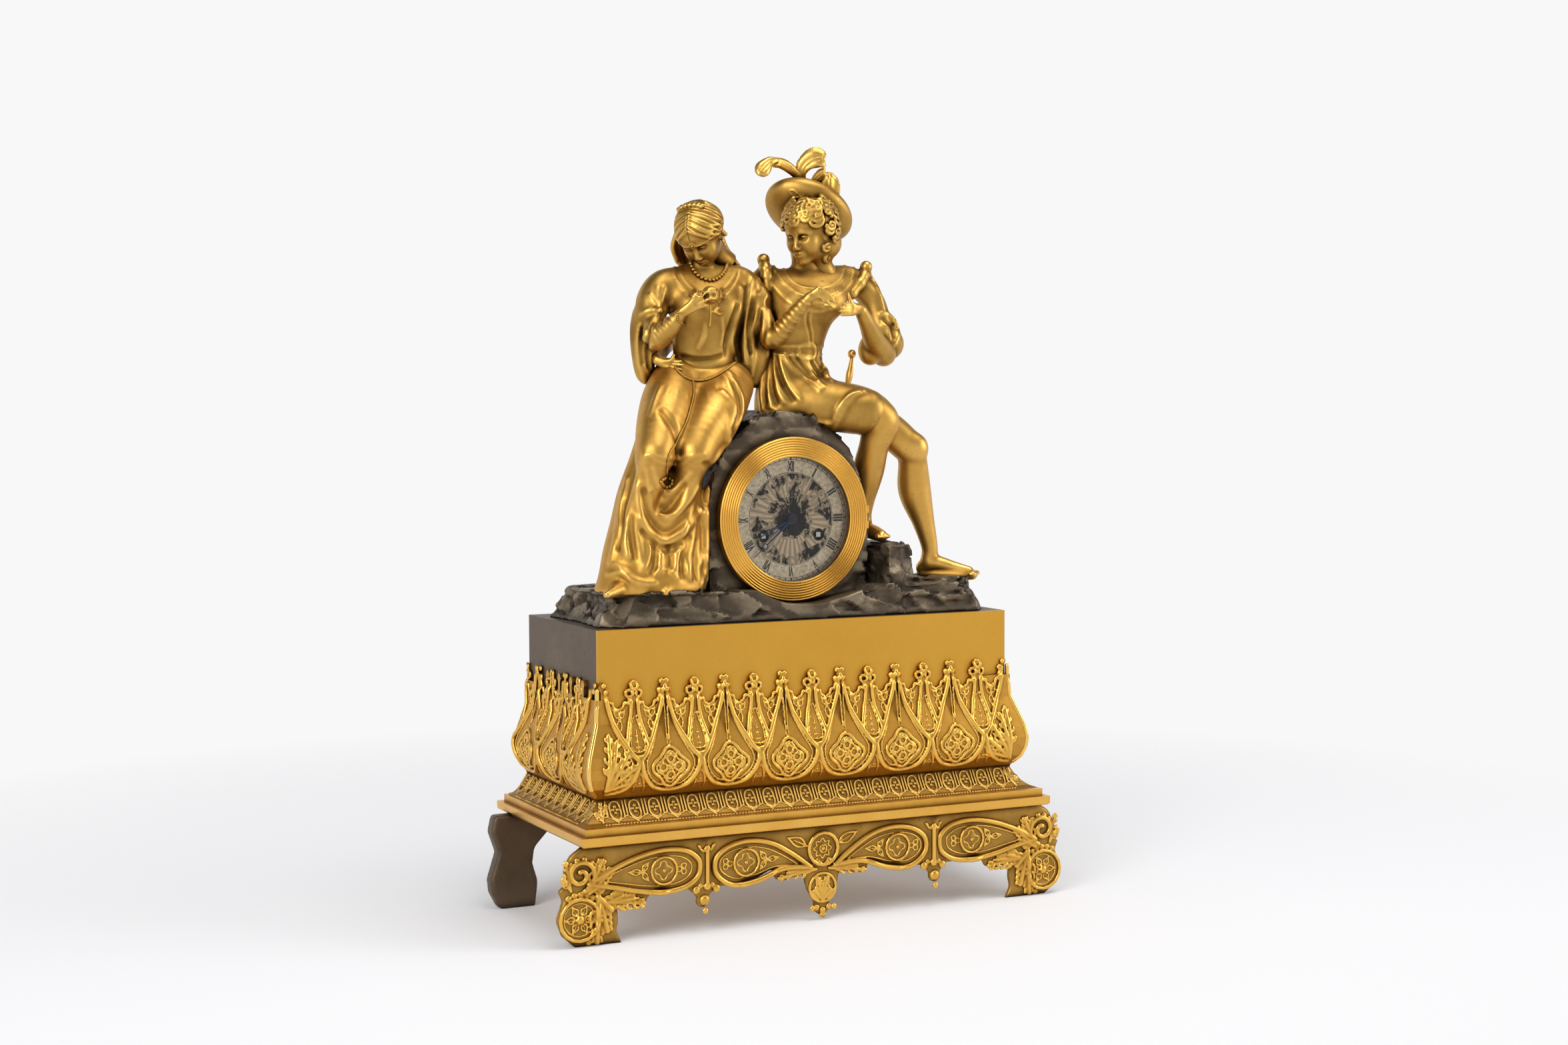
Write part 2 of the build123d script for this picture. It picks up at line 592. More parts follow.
# Rock: a terrace with lumps, and the drum over it bored for the movement
def lump(shares, centre, bottom, top, top_share):
    half, deep = PLINTH_WIDTH / 2 - ROCK_RIM, PLINTH_DEPTH / 2 - ROCK_RIM
    low = [(centre[0] + half * x, centre[1] + deep * y) for x, y in shares]
    mid_x = sum(x for x, y in low) / len(low)
    mid_y = sum(y for x, y in low) / len(low)
    high = [(mid_x + (x - mid_x) * top_share, mid_y + (y - mid_y) * top_share) for x, y in low]
    return loft([Pos(0, 0, bottom) * outline(low), Pos(0, 0, top) * outline(high)], ruled=True)


def rock_solid():
    centre = (0.0, (FRONT_Y + BACK_Y) / 2)
    terrace = lump(ROCK_FOOT_SHARES, centre, PLINTH_TOP_Z, LEDGE_Z, ROCK_TOP_SHARE)
    step_top = LEDGE_Z + STEP_ROCK_RISE + TOE_ROCK_RISE
    rock = terrace + lump(STEP_ROCK_SHARES, centre, PLINTH_TOP_Z, step_top, STEP_ROCK_TOP_SHARE)
    half, deep = PLINTH_WIDTH / 2 - ROCK_RIM, PLINTH_DEPTH / 2 - ROCK_RIM
    for x, y, spread in TOE_ROCKS_SHARES:
        face = Pos(half * x, centre[1] + deep * y, LEDGE_Z) * RegularPolygon(half * spread, TOE_ROCK_SIDES)
        rock += extrude(face, amount=TOE_ROCK_RISE)
    seat = outline(scaled(SEAT_SHARES, DRUM_R, DRUM_R))
    rock += plate(seat + Circle(DRUM_R), DRUM_FRONT_Y, DRUM_BACK_Y, 0, DIAL_Z)
    limit = block(-PLINTH_WIDTH, PLINTH_WIDTH, FRONT_Y, BACK_Y, PLINTH_TOP_Z, PLINTH_TOP_Z + PLINTH_WIDTH)
    return rock & limit


def swing_hollow():
    """Trough in front of the drum, as deep as the rim of the bezel sweeps while it opens on its hinge."""
    hinge_to_front = HINGE_Y - FRONT_Y
    bezel_reach = HINGE_Y - DRUM_FRONT_Y + BEZEL_DEPTH + REED_RISE
    points = []
    for i in range(SWING_STEPS + 1):
        x = -BEZEL_R * math.cos(math.pi * i / SWING_STEPS)
        nearest = math.sqrt(max((HINGE_X - x) ** 2 - bezel_reach ** 2, 0.0))
        farthest = math.hypot(HINGE_X - x, hinge_to_front)
        off = max(nearest - HINGE_X, HINGE_X - farthest, 0.0)
        off = min(off, BEZEL_R)
        points.append((x, -math.sqrt(BEZEL_R ** 2 - off ** 2) - SWING_GAP))
    trough = outline(points + [(BEZEL_R, BEZEL_R), (-BEZEL_R, BEZEL_R)])
    return plate(trough, FRONT_Y, DRUM_FRONT_Y, 0, DIAL_Z)


def rock_base():
    rock = rock_solid() - disc(BORE_R, DRUM_FRONT_Y, DRUM_BACK_Y, 0, DIAL_Z) - swing_hollow()
    rock -= disc(REAR_RING_R + BEZEL_GAP, DRUM_BACK_Y, BACK_Y, 0, DIAL_Z)
    half = SLOT_WIDTH / 2
    return main_solid(rock - block(-half, half, SLOT_FRONT_Y, BACK_Y, PLINTH_TOP_Z, DIAL_Z))


# Figures, each form lofted through rounded sections
def on_ledge(x, y, z):
    return (x * HEAD, y * HEAD, LEDGE_Z + FIGURE_RISE + z * HEAD)


def section(centre, across, deep, facing, along):
    plane = Plane(origin=centre, x_dir=along, z_dir=facing)
    turns = [2 * math.pi * i / FORM_SIDES for i in range(FORM_SIDES)]
    return plane * outline([(across * HEAD * math.cos(t), deep * HEAD * math.sin(t)) for t in turns])


def form(name, shares=None, lean=0.0):
    tilt = math.radians(lean)
    up, along = (math.sin(tilt), 0, math.cos(tilt)), (math.cos(tilt), 0, -math.sin(tilt))
    stations = shares or FIGURE_FORM_SHARES[name]
    return loft([section(on_ledge(x, y, z), a, d, up, along) for x, y, z, a, d in stations], ruled=True)


def limb(name):
    stations = LIMB_SHARES[name]
    places = [Vector(on_ledge(*station[:3])) for station in stations]
    sections = []
    for i, (place, station) in enumerate(zip(places, stations)):
        facing = (places[min(i + 1, len(places) - 1)] - places[max(i - 1, 0)]).normalized()
        along = Vector(0, 1, 0).cross(facing).normalized()
        sections.append(section(tuple(place), station[3], station[3], tuple(facing), tuple(along)))
    return loft(sections, ruled=True)


def rose():
    return Pos(*on_ledge(*ROSE_SHARE)) * Sphere(ROSE_R)


def belt_buckle():
    frame = Rectangle(BUCKLE_WIDTH, BUCKLE_HEIGHT) - Rectangle(BUCKLE_WIDTH / 2, BUCKLE_HEIGHT / 2)
    x, y, z = on_ledge(*BUCKLE_SHARE)
    return plate(frame, y - BUCKLE_THICK / 2, y + BUCKLE_THICK / 2, x, z)


def figures():
    rock = rock_solid()
    pieces = {"lady_skirt": form("lady_skirt") + limb("lady_right_shoe") + limb("lady_left_shoe")}
    pieces["lady_torso"] = form("lady_torso")
    pieces["lady_head"] = form("lady_head")
    pieces["lady_veil"] = form("lady_veil")
    pieces["man_tunic"] = form("man_tunic") + belt_buckle()
    pieces["man_head"] = form("man_head")
    pieces["man_hat"] = form("man_hat", HAT_SHARES, HAT_TILT)
    feathers = limb("left_feather") + limb("tall_feather") + limb("short_feather")
    pieces["man_feathers"] = feathers
    pieces["man_right_leg"] = limb("man_right_leg")
    pieces["man_left_leg"] = limb("man_left_leg")
    pieces["lady_right_arm"] = limb("lady_right_arm") + limb("lady_right_sleeve") + rose()
    pieces["lady_left_arm"] = limb("lady_left_arm") + limb("lady_left_sleeve")
    pieces["man_left_arm"] = limb("man_left_arm")
    pieces["man_right_arm"] = limb("man_right_arm")
    pieces["dagger"] = limb("dagger")
    return seated(pieces, rock)


def seated(pieces, rock):
    """Each casting is cut to the ones before it, so that it seats face to face."""
    done = {}
    for name, piece in pieces.items():
        cut = piece - rock
        for other in done.values():
            if cut.bounding_box().overlaps(other.bounding_box()):
                cut = cut - other
        done[name] = main_solid(cut)
    return done


# Where the arbors stand, in (x, z) from the centre of the dial
def meet(a, reach_a, b, reach_b, side):
    """The point that lies reach_a from a and reach_b from b, to the given side of the line a to b."""
    across, up = b[0] - a[0], b[1] - a[1]
    gap = math.hypot(across, up)
    along = (reach_a ** 2 - reach_b ** 2 + gap ** 2) / (2 * gap)
    off = side * math.sqrt(reach_a ** 2 - along ** 2)
    return (a[0] + (along * across - off * up) / gap, a[1] + (along * up + off * across) / gap)


def mesh(teeth, leaves, module):
    return (teeth + leaves) * module / 2 + MESH_FIT


def beside(place, reach, turn):
    return (place[0] + reach * math.cos(math.radians(turn)), place[1] + reach * math.sin(math.radians(turn)))


CENTRE_AT = (0.0, 0.0)
GOING_AT = (WINDING_X, -WINDING_DROP)
STRIKE_AT = (-WINDING_X, -WINDING_DROP)
ESCAPE_AT = (0.0, ESCAPE_Z)
ANCHOR_AT = (0.0, ANCHOR_Z)
BARREL_REACH = mesh(BARREL_TEETH, BARREL_PINION, BARREL_MODULE)
SECOND_AT = meet(CENTRE_AT, mesh(SECOND_TEETH, SECOND_PINION, SECOND_MODULE), GOING_AT, BARREL_REACH, 1)
THIRD_REACH = mesh(CENTRE_TEETH, CENTRE_PINION, CENTRE_MODULE)
THIRD_AT = meet(CENTRE_AT, THIRD_REACH, ESCAPE_AT, mesh(THIRD_TEETH, THIRD_PINION, THIRD_MODULE), 1)
PIN_AT = beside(STRIKE_AT, BARREL_REACH, PIN_ARBOR_TURN)
WARNING_AT = beside(PIN_AT, mesh(PIN_TEETH, PIN_PINION, PIN_MODULE), WARNING_ARBOR_TURN)
FLY_AT = beside(WARNING_AT, mesh(WARNING_TEETH, WARNING_PINION, WARNING_MODULE), FLY_ARBOR_TURN)
COUNT_AT = beside(PIN_AT, mesh(COUNT_TEETH, COUNT_PINION, COUNT_MODULE), COUNT_ARBOR_TURN)
MINUTE_AT = beside(CENTRE_AT, mesh(CANNON_TEETH, MINUTE_TEETH, CANNON_MODULE), MINUTE_ARBOR_TURN)
GREAT_Y = PLATE_IN_Y + GREAT_LAYER
FIRST_Y = PLATE_IN_Y + FIRST_LAYER
SECOND_Y = FIRST_Y + LAYER_PITCH
THIRD_Y = SECOND_Y + LAYER_PITCH
FOURTH_Y = THIRD_Y + LAYER_PITCH


def in_mesh(driver_at, driver_turn, driver_teeth, at, teeth):
    """Turn of a wheel so that one of its gaps faces the tooth of its driver."""
    facing = math.degrees(math.atan2(at[1] - driver_at[1], at[0] - driver_at[0]))
    half_pitch = 180 / teeth
    return facing + 180 + half_pitch + driver_teeth / teeth * (facing - driver_turn)


# Wheels, pinions and arbors
def toothed(teeth, module, shares):
    pitch_r, points = teeth * module / 2, []
    for tooth in range(teeth):
        for height, along in shares:
            radius = pitch_r + height * module
            angle = 2 * math.pi * (tooth + along) / teeth
            points.append((radius * math.cos(angle), radius * math.sin(angle)))
    return outline(points)


def crossed(sketch, rim_r):
    spokes = Circle(HUB_R)
    for i in range(SPOKES // 2):
        spokes += Rot(0, 0, 180 * i / (SPOKES // 2)) * Rectangle(2 * rim_r, SPOKE_WIDTH)
    return sketch - Circle(rim_r) + spokes


def wheel(teeth, module, at, front, turn=0.0, shares=WHEEL_TOOTH_SHARES):
    root_r = teeth * module / 2 + shares[0][0] * module
    sketch = crossed(toothed(teeth, module, shares), root_r - RIM_WIDTH)
    return plate(sketch, front, front + WHEEL_THICK, at[0], DIAL_Z + at[1], turn)


def pinion(leaves, module, at, wheel_front, turn):
    front = wheel_front - (PINION_THICK - WHEEL_THICK) / 2
    sketch = toothed(leaves, module, PINION_LEAF_SHARES)
    return plate(sketch, front, front + PINION_THICK, at[0], DIAL_Z + at[1], turn)


def spindle(at, front=PLATE_IN_Y + END_SHAKE, back=PLATE_OUT_Y - END_SHAKE):
    x, z = at[0], DIAL_Z + at[1]
    pivots = disc(PIVOT_R, front - END_SHAKE - PLATE_THICK, back + END_SHAKE + PLATE_THICK, x, z)
    return pivots + disc(SPINDLE_R, front, back, x, z)


def barrel(at):
    sketch = toothed(BARREL_TEETH, BARREL_MODULE, WHEEL_TOOTH_SHARES)
    x, z = at[0], DIAL_Z + at[1]
    body = plate(sketch, GREAT_Y, GREAT_Y + WHEEL_THICK, x, z)
    body += disc(BARREL_DRUM_R, GREAT_Y + WHEEL_THICK, GREAT_Y + WHEEL_THICK + BARREL_DEPTH, x, z)
    return body - disc(ARBOR_R + RUNNING_FIT, GREAT_Y, GREAT_Y + WHEEL_THICK + BARREL_DEPTH, x, z)


def winding_arbor(at):
    x, z = at[0], DIAL_Z + at[1]
    square = Rectangle(SQUARE_SIDE, SQUARE_SIDE)
    ratchet_front = FRONT_PLATE_Y - SIDE_GAP - RATCHET_THICK
    arbor = plate(square, DIAL_Y, ratchet_front, x, z)
    module = 2 * RATCHET_R / RATCHET_TEETH
    teeth = toothed(RATCHET_TEETH, module, RATCHET_TOOTH_SHARES)
    arbor += plate(teeth, ratchet_front, ratchet_front + RATCHET_THICK, x, z)
    return arbor + disc(ARBOR_R, ratchet_front + RATCHET_THICK, PLATE_BACK_Y, x, z)


SECOND_TURN = in_mesh(GOING_AT, 0, BARREL_TEETH, SECOND_AT, SECOND_PINION)
CENTRE_TURN = in_mesh(SECOND_AT, 0, SECOND_TEETH, CENTRE_AT, SECOND_PINION)
THIRD_TURN = in_mesh(CENTRE_AT, 0, CENTRE_TEETH, THIRD_AT, CENTRE_PINION)
ESCAPE_TURN = in_mesh(THIRD_AT, 0, THIRD_TEETH, ESCAPE_AT, THIRD_PINION)
PIN_TURN = in_mesh(STRIKE_AT, 0, BARREL_TEETH, PIN_AT, BARREL_PINION)
WARNING_TURN = in_mesh(PIN_AT, 0, PIN_TEETH, WARNING_AT, PIN_PINION)
FLY_TURN = in_mesh(WARNING_AT, 0, WARNING_TEETH, FLY_AT, WARNING_PINION)
COUNT_TURN = in_mesh(PIN_AT, 0, COUNT_PINION, COUNT_AT, COUNT_TEETH)
MINUTE_TURN = in_mesh(CENTRE_AT, 0, CANNON_TEETH, MINUTE_AT, MINUTE_TEETH)
HOUR_TURN = in_mesh(MINUTE_AT, 0, MINUTE_PINION, CENTRE_AT, HOUR_TEETH)


def second_wheel():
    body = spindle(SECOND_AT) + pinion(BARREL_PINION, BARREL_MODULE, SECOND_AT, GREAT_Y, SECOND_TURN)
    return body + wheel(SECOND_TEETH, SECOND_MODULE, SECOND_AT, SECOND_Y)


def centre_wheel():
    body = disc(CENTRE_ARBOR_R, MINUTE_HAND_Y + END_SHAKE, PLATE_OUT_Y - END_SHAKE, 0, DIAL_Z)
    body += disc(PIVOT_R, PLATE_OUT_Y - END_SHAKE, PLATE_BACK_Y, 0, DIAL_Z)
    body += pinion(SECOND_PINION, SECOND_MODULE, CENTRE_AT, SECOND_Y, CENTRE_TURN)
    return body + wheel(CENTRE_TEETH, CENTRE_MODULE, CENTRE_AT, THIRD_Y)


def third_wheel():
    body = spindle(THIRD_AT) + pinion(CENTRE_PINION, CENTRE_MODULE, THIRD_AT, THIRD_Y, THIRD_TURN)
    return body + wheel(THIRD_TEETH, THIRD_MODULE, THIRD_AT, FIRST_Y)


def escape_wheel():
    body = spindle(ESCAPE_AT) + pinion(THIRD_PINION, THIRD_MODULE, ESCAPE_AT, FIRST_Y, ESCAPE_TURN)
    module = 2 * ESCAPE_R / ESCAPE_TEETH
    return body + wheel(ESCAPE_TEETH, module, ESCAPE_AT, FOURTH_Y, 0, ESCAPE_TOOTH_SHARES)


def anchor_and_crutch():
    arms = outline(scaled(ANCHOR_SHARES, ESCAPE_R, ESCAPE_R))
    body = plate(arms, FOURTH_Y, FOURTH_Y + WHEEL_THICK, 0, DIAL_Z + ESCAPE_Z)
    z = DIAL_Z + ANCHOR_Z
    front = PLATE_IN_Y + END_SHAKE
    body += disc(PIVOT_R, front - END_SHAKE - PLATE_THICK, front, 0, z)
    crutch_back = CRUTCH_Y + CRUTCH_THICK
    body += disc(SPINDLE_R, front, crutch_back, 0, z)
    low = z - CRUTCH_DROP
    body += block(-CRUTCH_WIDTH / 2, CRUTCH_WIDTH / 2, CRUTCH_Y, crutch_back, low, z)
    body += block(-FORK_WIDTH / 2, FORK_WIDTH / 2, CRUTCH_Y, PENDULUM_Y + ROD_R, low, low + FORK_HEIGHT)
    gap = ROD_R + FORK_FIT
    return body - block(-gap, gap, crutch_back, PENDULUM_Y + ROD_R, low, low + FORK_HEIGHT)


def pendulum():
    z = DIAL_Z + ANCHOR_Z
    bottom = z - PENDULUM_LENGTH
    length = PENDULUM_LENGTH + ROD_TOP_RISE + BOB_R + RATING_NUT_HEIGHT
    rod = Pos(0, PENDULUM_Y, z + ROD_TOP_RISE - length / 2) * Cylinder(ROD_R, length)
    bob = disc(BOB_R, PENDULUM_Y - BOB_THICK / 2, PENDULUM_Y + BOB_THICK / 2, 0, bottom)
    bob = chamfer(bob.edges().filter_by(GeomType.CIRCLE), BOB_THICK / 3)
    nut_z = bottom - BOB_R - RATING_NUT_HEIGHT / 2
    return rod + bob + Pos(0, PENDULUM_Y, nut_z) * Cylinder(RATING_NUT_R, RATING_NUT_HEIGHT)


def suspension_cock():
    low = DIAL_Z + ANCHOR_Z + COCK_GAP
    half = COCK_WIDTH / 2
    return block(-half, half, PLATE_BACK_Y, PLATE_BACK_Y + COCK_DEPTH, low, low + COCK_HEIGHT)


# Striking train
def pin_wheel():
    body = spindle(PIN_AT) + pinion(BARREL_PINION, BARREL_MODULE, PIN_AT, GREAT_Y, PIN_TURN)
    x, z = PIN_AT[0], DIAL_Z + PIN_AT[1]
    body += disc(PIVOT_R, PLATE_OUT_Y, COUNT_LAYER_Y, x, z)
    body += wheel(PIN_TEETH, PIN_MODULE, PIN_AT, SECOND_Y)
    body += pinion(COUNT_PINION, COUNT_MODULE, PIN_AT, COUNT_LAYER_Y, 0)
    reach = LIFT_PIN_AT_SHARE * PIN_TEETH * PIN_MODULE / 2
    for i in range(PIN_COUNT):
        px, pz = beside((x, z), reach, 360 * i / PIN_COUNT)
        lift_pin = RegularPolygon(LIFT_PIN_R, CREST_SIDES)
        body += plate(lift_pin, SECOND_Y - LIFT_PIN_LENGTH, SECOND_Y, px, pz)
    return body


def warning_wheel():
    body = spindle(WARNING_AT) + pinion(PIN_PINION, PIN_MODULE, WARNING_AT, SECOND_Y, WARNING_TURN)
    return body + wheel(WARNING_TEETH, WARNING_MODULE, WARNING_AT, THIRD_Y)


def fly():
    body = spindle(FLY_AT) + pinion(WARNING_PINION, WARNING_MODULE, FLY_AT, THIRD_Y, FLY_TURN)
    vane = Rectangle(FLY_SPAN, FLY_THICK)
    return body + plate(vane, FLY_Y, FLY_Y + FLY_DEPTH, FLY_AT[0], DIAL_Z + FLY_AT[1], FLY_TURN)


def count_wheel():
    """Gear with the locking plate on it: a notch after each hour's blows and each half hour."""
    x, z = COUNT_AT[0], DIAL_Z + COUNT_AT[1]
    gear = toothed(COUNT_TEETH, COUNT_MODULE, WHEEL_TOOTH_SHARES)
    body = plate(gear, COUNT_LAYER_Y, COUNT_LAYER_Y + WHEEL_THICK, x, z, COUNT_TURN)
    notched = Circle(LOCKING_R)
    blows = sum(hour + 1 for hour in range(1, HOURS + 1))
    struck = 0
    for hour in range(1, HOURS + 1):
        struck += hour + 1
        notch = Pos(LOCKING_R, 0) * Rectangle(2 * LOCKING_NOTCH, LOCKING_NOTCH)
        notched -= Rot(0, 0, 360 * struck / blows) * notch
    back = COUNT_LAYER_Y + WHEEL_THICK
    body += plate(notched, back, back + LOCKING_THICK, x, z)
    return body - disc(STUD_R + RUNNING_FIT, COUNT_LAYER_Y, back + LOCKING_THICK, x, z)


def bell():
    outer = [(BELL_R * r, BELL_DEPTH * y) for r, y in BELL_SHARES]
    inner_r, inner_depth = BELL_R - BELL_WALL, BELL_DEPTH - BELL_WALL
    inner = [(inner_r * r, inner_depth * y) for r, y in BELL_SHARES]
    view = Plane(origin=(0, BELL_MOUTH_Y, DIAL_Z), x_dir=(1, 0, 0), z_dir=(0, 0, 1))
    shell = revolve(view * outline(outer + inner[::-1]), Axis((0, 0, DIAL_Z), (0, 1, 0)))
    return shell - disc(BELL_POST_R, BELL_MOUTH_Y, BELL_MOUTH_Y + BELL_DEPTH, 0, DIAL_Z)


def bell_stand():
    x, z = BELL_POST_AT[0], DIAL_Z + BELL_POST_AT[1]
    arm_front = BELL_MOUTH_Y + BELL_ARM_THICK / 2
    arm_back = arm_front + BELL_ARM_THICK
    stand = disc(BELL_POST_R, PLATE_BACK_Y, arm_back, x, z)
    turn = math.degrees(math.atan2(BELL_POST_AT[1], BELL_POST_AT[0]))
    reach = math.hypot(*BELL_POST_AT)
    arm = Rectangle(reach, BELL_ARM_WIDTH)
    stand += plate(arm, arm_front, arm_back, x / 2, DIAL_Z + BELL_POST_AT[1] / 2, turn)
    back = BELL_MOUTH_Y + BELL_DEPTH
    stand += disc(BELL_POST_R, arm_front, back, 0, DIAL_Z)
    return stand + disc(BELL_NUT_R, back, back + BELL_NUT_THICK, 0, DIAL_Z)


def hammer():
    x, z = HAMMER_AT[0], DIAL_Z + HAMMER_AT[1]
    head_x, head_z = beside(CENTRE_AT, BELL_R + HAMMER_GAP + HAMMER_HEAD_R, HAMMER_TURN)
    across, up = head_x - HAMMER_AT[0], head_z - HAMMER_AT[1]
    hub_back = HAMMER_HUB_Y + HAMMER_ARM_THICK
    body = disc(HAMMER_HUB_R, HAMMER_HUB_Y, hub_back, x, z)
    arm = Rectangle(math.hypot(across, up), HAMMER_ARM_WIDTH)
    turn = math.degrees(math.atan2(up, across))
    body += plate(arm, HAMMER_HUB_Y, hub_back, x + across / 2, z + up / 2, turn)
    body += disc(HAMMER_STEM_R, HAMMER_HUB_Y, BELL_MOUTH_Y + HAMMER_HEAD_DEPTH, head_x, DIAL_Z + head_z)
    body += disc(HAMMER_HEAD_R, BELL_MOUTH_Y, BELL_MOUTH_Y + HAMMER_HEAD_DEPTH, head_x, DIAL_Z + head_z)
    return body - disc(STUD_R + RUNNING_FIT, HAMMER_HUB_Y, hub_back, x, z)


# Plates, with a pivot hole for each arbor
def bored(body, front, back, pivots):
    for at, radius in pivots:
        body -= disc(radius + RUNNING_FIT, front, back, at[0], DIAL_Z + at[1])
    return body


def front_plate():
    body = disc(PLATE_R, FRONT_PLATE_Y, PLATE_IN_Y, 0, DIAL_Z)
    x, z = MINUTE_AT[0], DIAL_Z + MINUTE_AT[1]
    body += disc(STUD_R, HOUR_LAYER_Y - SIDE_GAP, FRONT_PLATE_Y, x, z)
    small = [SECOND_AT, THIRD_AT, ESCAPE_AT, ANCHOR_AT, PIN_AT, WARNING_AT, FLY_AT]
    pivots = [(at, PIVOT_R) for at in small]
    pivots += [(GOING_AT, ARBOR_R), (STRIKE_AT, ARBOR_R), (CENTRE_AT, CENTRE_ARBOR_R)]
    return bored(body, FRONT_PLATE_Y, PLATE_IN_Y, pivots)


def back_plate():
    body = disc(PLATE_R, PLATE_OUT_Y, PLATE_BACK_Y, 0, DIAL_Z)
    for x, z in PILLARS_AT:
        body += disc(PILLAR_R, PLATE_IN_Y, PLATE_OUT_Y, x, DIAL_Z + z)
    for at, back in ((COUNT_AT, COUNT_LAYER_Y + WHEEL_THICK + LOCKING_THICK),
                     (HAMMER_AT, HAMMER_HUB_Y + HAMMER_ARM_THICK)):
        body += disc(STUD_R, PLATE_BACK_Y, back + SIDE_GAP, at[0], DIAL_Z + at[1])
    small = [SECOND_AT, THIRD_AT, ESCAPE_AT, PIN_AT, WARNING_AT, FLY_AT, CENTRE_AT]
    pivots = [(at, PIVOT_R) for at in small]
    pivots += [(GOING_AT, ARBOR_R), (STRIKE_AT, ARBOR_R), (ANCHOR_AT, SPINDLE_R)]
    return bored(body, PLATE_OUT_Y, PLATE_BACK_Y, pivots)


# Motion work and hands
def hand(length):
    """Ring hand: a hub, a tapered shaft and an open ring towards the tip."""
    ring_x = length * HAND_RING_AT_SHARE
    tip = HAND_WIDTH * HAND_TIP_WIDTH_SHARE
    shaft = outline([(0, -HAND_WIDTH / 2), (length, -tip / 2), (length, tip / 2), (0, HAND_WIDTH / 2)])
    sketch = Circle(HAND_HUB_R) + shaft + Pos(ring_x, 0) * Circle(HAND_RING_R)
    return sketch - Pos(ring_x, 0) * Circle(HAND_RING_R - HAND_WIDTH / 2)


def cannon_pinion():
    """The pipe goes through the minute hand and ends in the collet that holds it."""
    body = tube(CANNON_PIPE_R, CANNON_BORE_R, MINUTE_HAND_Y, MINUTE_LAYER_Y, 0, DIAL_Z)
    body += disc(COLLET_R, MINUTE_HAND_Y - HAND_THICK, MINUTE_HAND_Y, 0, DIAL_Z)
    leaves = toothed(CANNON_TEETH, CANNON_MODULE, PINION_LEAF_SHARES) - Circle(CANNON_BORE_R)
    return body + plate(leaves, MINUTE_LAYER_Y, MINUTE_LAYER_Y + WHEEL_THICK, 0, DIAL_Z)


def minute_hand():
    sketch = hand(MINUTE_HAND_LENGTH) - Circle(CANNON_PIPE_R)
    return plate(sketch, MINUTE_HAND_Y, MINUTE_HAND_Y + HAND_THICK, 0, DIAL_Z, MINUTE_HAND_TURN)


def minute_wheel():
    x, z = MINUTE_AT[0], DIAL_Z + MINUTE_AT[1]
    body = wheel(MINUTE_TEETH, CANNON_MODULE, MINUTE_AT, MINUTE_LAYER_Y, MINUTE_TURN)
    leaves = toothed(MINUTE_PINION, HOUR_MODULE, PINION_LEAF_SHARES)
    body += plate(leaves, HOUR_LAYER_Y, MINUTE_LAYER_Y, x, z)
    return body - disc(STUD_R + RUNNING_FIT, HOUR_LAYER_Y, MINUTE_LAYER_Y + WHEEL_THICK, x, z)


def hour_wheel():
    body = wheel(HOUR_TEETH, HOUR_MODULE, CENTRE_AT, HOUR_LAYER_Y, HOUR_TURN)
    body += disc(HOUR_PIPE_R, HOUR_HAND_Y + HAND_THICK, HOUR_LAYER_Y, 0, DIAL_Z)
    return body - disc(HOUR_PIPE_BORE_R, HOUR_HAND_Y, HOUR_LAYER_Y + WHEEL_THICK, 0, DIAL_Z)


def hour_hand():
    sketch = hand(HOUR_HAND_LENGTH) - Circle(HOUR_PIPE_BORE_R)
    return plate(sketch, HOUR_HAND_Y, HOUR_HAND_Y + HAND_THICK, 0, DIAL_Z, HOUR_HAND_TURN)


# Dial, case ring, bezel and glass
def dial():
    back = DIAL_Y + DIAL_THICK
    body = tube(RING_BORE_R - RUNNING_FIT, CENTRE_HOLE_R, DIAL_Y, back, 0, DIAL_Z)
    for at in (GOING_AT, STRIKE_AT):
        body -= disc(WINDING_HOLE_R, DIAL_Y, back, at[0], DIAL_Z + at[1])
    for turn in DIAL_FOOT_TURNS:
        x, z = beside(CENTRE_AT, DIAL_FOOT_AT_R, turn)
        body += disc(DIAL_FOOT_R, back, FRONT_PLATE_Y, x, DIAL_Z + z)
    return body


def knuckle(low, high, bore=0.0):
    body = Pos(HINGE_X, HINGE_Y, (low + high) / 2) * Cylinder(KNUCKLE_R, high - low)
    if bore:
        body -= Pos(HINGE_X, HINGE_Y, (low + high) / 2) * Cylinder(bore, high - low)
    return body


def case_ring():
    lip_front = DRUM_FRONT_Y - RING_LIP
    body = tube(RING_LIP_R, RING_BORE_R, lip_front, DRUM_FRONT_Y, 0, DIAL_Z)
    body += tube(BORE_R, RING_BORE_R, DRUM_FRONT_Y, DRUM_FRONT_Y + RING_DEPTH, 0, DIAL_Z)
    ledge = DIAL_Y + DIAL_THICK
    body += tube(RING_BORE_R, RING_BORE_R - LEDGE_WIDTH, ledge, ledge + LEDGE_WIDTH / 2, 0, DIAL_Z)
    half = KNUCKLE_LENGTH / 2
    leaf_back = DRUM_FRONT_Y - BEZEL_GAP
    leaf = block(RING_LIP_R - LEDGE_WIDTH, HINGE_X, lip_front, leaf_back, DIAL_Z - half, DIAL_Z + half)
    body += leaf + knuckle(DIAL_Z - half, DIAL_Z + half)
    reach = half + BEZEL_GAP + KNUCKLE_LENGTH
    return body + Pos(HINGE_X, HINGE_Y, DIAL_Z) * Cylinder(HINGE_PIN_R, 2 * reach)


